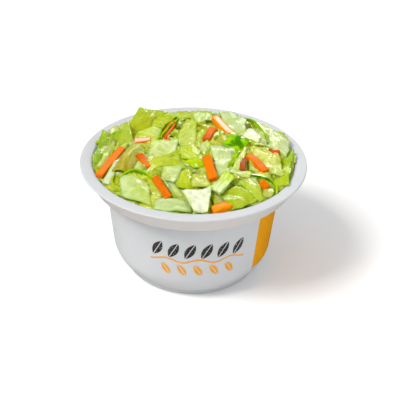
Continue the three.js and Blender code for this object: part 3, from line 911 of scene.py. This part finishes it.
class PieceFrame:
    """The frame of a piece that lies from start to end: along it, across it, out of its face."""

    def __init__(self, start, end, roll):
        self.start = Vector(start)
        span = Vector(end) - self.start
        self.length = span.length
        self.along = span.normalized()
        level = Vector((0, 0, 1)).cross(self.along).normalized()
        self.across = Quaternion(self.along, math.radians(roll)) @ level
        self.out = self.along.cross(self.across)

    def point(self, along_by, across_by, out_by):
        """The point that lies so far along, across and out from the piece's start."""
        return self.start + self.along * along_by + self.across * across_by + self.out * out_by


def tint_between(first, last, share, shade):
    """The colour between two named tints, darkened by shade."""
    return Vector(linear(first)).lerp(Vector(linear(last)), share) * shade


def tint_with_painted_depth_shade(colour, spot):
    """The colour with painted shade: more yellow the lower the spot lies in the heap."""
    above = spot.z - heap_height(spot.x, spot.y)
    lifted = (above + PAINTED_SHADE_BELOW) / PAINTED_SHADE_SPAN
    return colour.lerp(Vector(linear("painted_depth_shade")), PAINTED_SHADE_SHARE * min(max(1 - lifted, 0), 1))


def trim_corners(bm, count, rng):
    """Cuts corners off a flat chip that reaches from -1 to 1 both ways."""
    for side_x, side_y in rng.sample(CORNERS, count):
        reach = Vector((side_x * rng.uniform(0.7, 1.3), side_y * rng.uniform(0.7, 1.3), 0))
        point = Vector((side_x, side_y, 0)) * rng.uniform(0.62, 0.8)
        slice_at(bm, point, reach.normalized(), clear_outer=True)


def kept_inside(spot, clearance):
    """The point, pulled in to clear the tub's wall and rim and down to the heap's top."""
    spot.z = min(spot.z, HEAP_TOP)
    over_rim = RIM_REACH * max(0, spot.z - TUB_HEIGHT)
    limit = min(mouth_radius(spot.z) - clearance + over_rim, RIM_RADIUS - RIM_CLEAR)
    radius = math.hypot(spot.x, spot.y)
    if radius > limit:
        spot.x *= limit / radius
        spot.y *= limit / radius
    return spot


def leaf_chip(row, thickness, rng):
    """A thin wavy chip of leaf, rib or pepper wall."""
    *ends, start_width, end_width, roll, bow, skew, trims, style, first, last = row
    lie = PieceFrame(ends[:3], ends[3:], roll)
    wave, crinkle, rib, pitch, slant, cup = STYLES[style]
    bm = new_piece_mesh()
    tint = bm.verts.layers.float_color["tint"]
    edge = bm.verts.layers.float["edge"]
    pale_and_painted_highlight = bm.verts.layers.float["pale_and_painted_highlight"]
    widest = max(start_width, end_width)
    steps_along = max(5, round(lie.length / CELL))
    steps_across = max(4, round(widest / CELL))
    bmesh.ops.create_grid(bm, x_segments=steps_along, y_segments=steps_across, size=1)
    trim_corners(bm, trims, rng)
    cup *= rng.uniform(0.7, 1.3) * min(1, widest / 10)
    curls = [(*rng.choice(CORNERS), rng.uniform(*CURL_LIFTS)) for _ in range(2)]
    shade = rng.uniform(*LEAF_SHADES)
    place_in_head = Vector((rng.uniform(0, FIELD), rng.uniform(0, FIELD), 0))
    for vert in bm.verts:
        vert[edge] = float(vert.is_boundary)
    flat = {}
    for vert in bm.verts:
        share = (vert.co.x + 1) / 2
        side = vert.co.y
        width = start_width + (end_width - start_width) * share
        along_by = lie.length * share + 0.5 * skew * side
        across_by = 0.5 * width * side
        spot = Vector((along_by, across_by, 0)) + place_in_head
        flat[vert] = (spot.x, spot.y)
        along_by += STRAY * noise.noise(spot / STRAY_PITCH)
        across_by += STRAY * noise.noise(spot / STRAY_PITCH + Vector((0, 0, 7)))
        fold = 1 - min(1, 3 * abs(noise.noise(spot / FOLD_PITCH)))
        swell = noise.noise(spot / WAVE_PITCH)
        over_ribs = across_by + slant * along_by + RIB_DRIFT * swell
        line = abs(math.cos(math.pi * over_ribs / pitch)) ** 4
        rise = bow * 4 * share * (1 - share) + cup * (0.5 - side * side)
        rise += wave * swell + crinkle * fold + rib * line
        for side_x, side_y, lift in curls:
            rise += lift * max(0, 0.5 * (vert.co.x * side_x + side * side_y)) ** 3
        # Paleness on the ribs, and painted highlight on the crests of the crinkles.
        vert[pale_and_painted_highlight] = min(1, fold * fold * crinkle * 1.4 + line * rib * 1.8)
        spot = lie.point(along_by, across_by, rise + 0.5 * thickness)
        vert.co = kept_inside(spot, GAP + thickness)
        # A chip that lies low in the heap gets painted shade in its tint.
        vert[tint] = tint_with_painted_depth_shade(tint_between(first, last, share, shade), vert.co)
    lay_out(bm, flat)
    thickened(bm, thickness)
    for vert in bm.verts:
        vert.co = kept_inside(vert.co, GAP)
    return bm


def carrot_stick(row, rng):
    """A cut stick with rounded edges, a little bent."""
    *ends, width, thickness, roll, edge_radius, paleness_and_painted_highlight, first, last = row
    lie = PieceFrame(ends[:3], ends[3:], roll)
    bm = new_piece_mesh()
    tint = bm.verts.layers.float_color["tint"]
    pale_and_painted_highlight = bm.verts.layers.float["pale_and_painted_highlight"]
    bmesh.ops.create_cube(bm, size=1)
    bmesh.ops.scale(bm, vec=(lie.length, width, thickness), verts=bm.verts)
    bmesh.ops.bevel(
        bm,
        geom=bm.edges[:],
        offset=edge_radius,
        segments=2 if edge_radius < 1 else 4,
        profile=0.5,
        affect="EDGES",
        material=-1,
    )
    bm.normal_update()
    cut_ends = [face for face in bm.faces if abs(face.normal.x) > 0.99]
    bmesh.ops.inset_individual(bm, faces=cut_ends, thickness=STICK_INSET)
    core_width = width / 2 - edge_radius - 0.1
    core_height = thickness / 2 - edge_radius - 0.1
    slices = max(4, round(lie.length / STICK_SLICE))
    for cut in range(1, slices):
        slice_at(bm, (lie.length * (cut / slices - 0.5), 0, 0), (1, 0, 0))
    stripe_edge = 0.2 * width
    beyond_stripe = 0.25 * width
    for side in (-stripe_edge, stripe_edge):
        slice_at(bm, (0, side, 0), (0, 1, 0))
    seat = Vector((rng.uniform(0, FIELD), 0, 0))
    bend = rng.uniform(-0.5, 0.5)
    flat = {}
    for vert in bm.verts:
        share = vert.co.x / lie.length + 0.5
        flat[vert] = (vert.co.x + seat.x, vert.co.y + vert.co.z)
        ripple = noise.noise_vector(vert.co / 4 + seat) * STICK_RIPPLE
        spot = vert.co + ripple
        spot.z += bend * 4 * share * (1 - share)
        vert[tint] = tint_between(first, last, share, PLAIN_SHADE)
        from_end = min(share, 1 - share) * lie.length
        # The stripe down the middle is pale core and partly painted highlight.
        in_pale_and_painted_highlight_stripe = from_end > STICK_BARE and abs(vert.co.y) < beyond_stripe
        in_core = abs(vert.co.y) < core_width and abs(vert.co.z) < core_height
        vert[pale_and_painted_highlight] = paleness_and_painted_highlight * float(in_pale_and_painted_highlight_stripe or (from_end < 0.01 and in_core))
        vert.co = lie.point(spot.x + lie.length / 2, spot.y, spot.z)
    lay_out(bm, flat)
    return bm


def curved_strip(row, rng):
    """A strip on edge along a curve through three points."""
    *points, start_height, end_height, name = row
    first, middle, last = (Vector(points[i : i + 3]) for i in (0, 3, 6))
    bm = new_piece_mesh()
    tint = bm.verts.layers.float_color["tint"]
    edge = bm.verts.layers.float["edge"]
    bmesh.ops.create_grid(bm, x_segments=22, y_segments=4, size=1)
    phase = rng.uniform(0, FIELD)
    flat = {}
    for vert in bm.verts:
        share = (vert.co.x + 1) / 2
        side = vert.co.y
        spot = (
            first * (2 * (share - 0.5) * (share - 1))
            + middle * (4 * share * (1 - share))
            + last * (2 * share * (share - 0.5))
        )
        slope = first * (4 * share - 3) + middle * (4 - 8 * share) + last * (4 * share - 1)
        across = slope.cross(Vector((0, 0, 1))).normalized()
        taper = 1 - 0.5 * abs(2 * share - 1) ** 3
        height = start_height + (end_height - start_height) * share
        flat[vert] = (share * (last - first).length + phase, side * height / 2)
        ripple = 0.5 * noise.noise(spot / 3 + Vector((phase, 0, 0)))
        vert[edge] = float(abs(side) > 0.9)
        vert[tint] = tint_between(name, name, 0, PLAIN_SHADE)
        vert.co = spot + Vector((0, 0, height / 2 * side * taper)) + across * ripple
    lay_out(bm, flat)
    thickened(bm, STRIP_THICKNESS)
    return bm


def lying_row(radius, bearing, heading, half_length, width, tilt, extra_roll, rng):
    """A chip that lies on the heap's slope, as a row like the placed ones."""
    x = radius * math.cos(bearing)
    y = radius * math.sin(bearing)
    dx = half_length * math.cos(heading)
    dy = half_length * math.sin(heading)
    slope = -2 * HEAP_CROWN * radius / MOUTH_RADIUS**2
    lie = math.degrees(math.atan(slope * math.sin(bearing - heading)))
    drop = FILLER_DROP + BACK_DROP * max(0, y)
    start = (x - dx, y - dy, heap_height(x - dx, y - dy) - tilt - drop)
    end = (x + dx, y + dy, heap_height(x + dx, y + dy) + tilt - drop)
    style = rng.choice(["smooth", "crinkled", "veined", "ribbed"])
    tints = rng.choice(FILLER_TINTS), rng.choice(FILLER_TINTS)
    narrow = width * rng.uniform(0.5, 1)
    bow, skew, trims = 1, 0, 1
    return (*start, *end, width, narrow, lie + extra_roll, bow, skew, trims, style, *tints)


def filler_rows(rng):
    """Chips that fill the gaps: a ring along the wall and a sunflower spiral inside it."""
    golden_angle = math.pi * (3 - math.sqrt(5))
    rows = []
    for i in range(RING_COUNT):
        bearing = 2 * math.pi * (i + 0.4 * rng.random()) / RING_COUNT
        heading = bearing + math.pi / 2 + rng.uniform(-0.4, 0.4)
        radius = RING_RADIUS - 2 * rng.random()
        half_length = rng.uniform(5, 8)
        tilt = rng.uniform(-1, 1)
        roll = rng.uniform(-6, 10)
        rows.append(lying_row(radius, bearing, heading, half_length, RING_WIDTH, tilt, roll, rng))
    for i in range(SPIRAL_COUNT):
        radius = SPIRAL_RADIUS * math.sqrt((i + 0.5) / SPIRAL_COUNT)
        heading = 2 * math.pi * rng.random()
        tilt = rng.uniform(-1.8, 1.8)
        roll = rng.uniform(-16, 16)
        half_length = rng.uniform(5, 9)
        width = rng.uniform(9, 15)
        rows.append(
            lying_row(radius, golden_angle * i, heading, half_length, width, tilt, roll, rng)
        )
    return rows


def make_heap():
    """Every piece of the salad over its core, in place of the plain heap."""
    leaf = leaf_skin()
    pepper = pepper_wall()
    rng = random.Random(SEED)
    core = make_core(packed_salad_in_painted_shade())
    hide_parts("slaw")
    chips = [leaf_chip(row, LEAF_THICKNESS, rng) for row in CABBAGE]
    ribs = [leaf_chip(row, RIB_THICKNESS, rng) for row in RIBS]
    walls = [leaf_chip(row, PEPPER_THICKNESS, rng) for row in PEPPER]
    sticks = [carrot_stick(row, rng) for row in CARROT]
    strips = [curved_strip(row, rng) for row in STRIPS]
    curls = [curved_strip(row, rng) for row in CURLS]
    fillers = [leaf_chip(row, LEAF_THICKNESS, rng) for row in filler_rows(rng)]
    tuck_under(fillers, chips + ribs + walls + sticks, FILLER_CLEARANCE)
    add_food(chips, "cabbage_chips", leaf, LEAF_SMOOTH)
    add_food(curls, "cabbage_curls", leaf, CUT_SMOOTH)
    add_food(fillers, "cabbage_under", leaf, LEAF_SMOOTH)
    add_food(ribs, "cabbage_ribs", leaf, CUT_SMOOTH)
    add_food(walls, "pepper_pieces", pepper, CUT_SMOOTH)
    add_food(sticks, "carrot_sticks", carrot_flesh(), STICK_SMOOTH)
    add_food(strips, "pepper_strips", pepper, CUT_SMOOTH)


make_camera()
make_stage()
make_tub(tub_plastic())
make_heap()
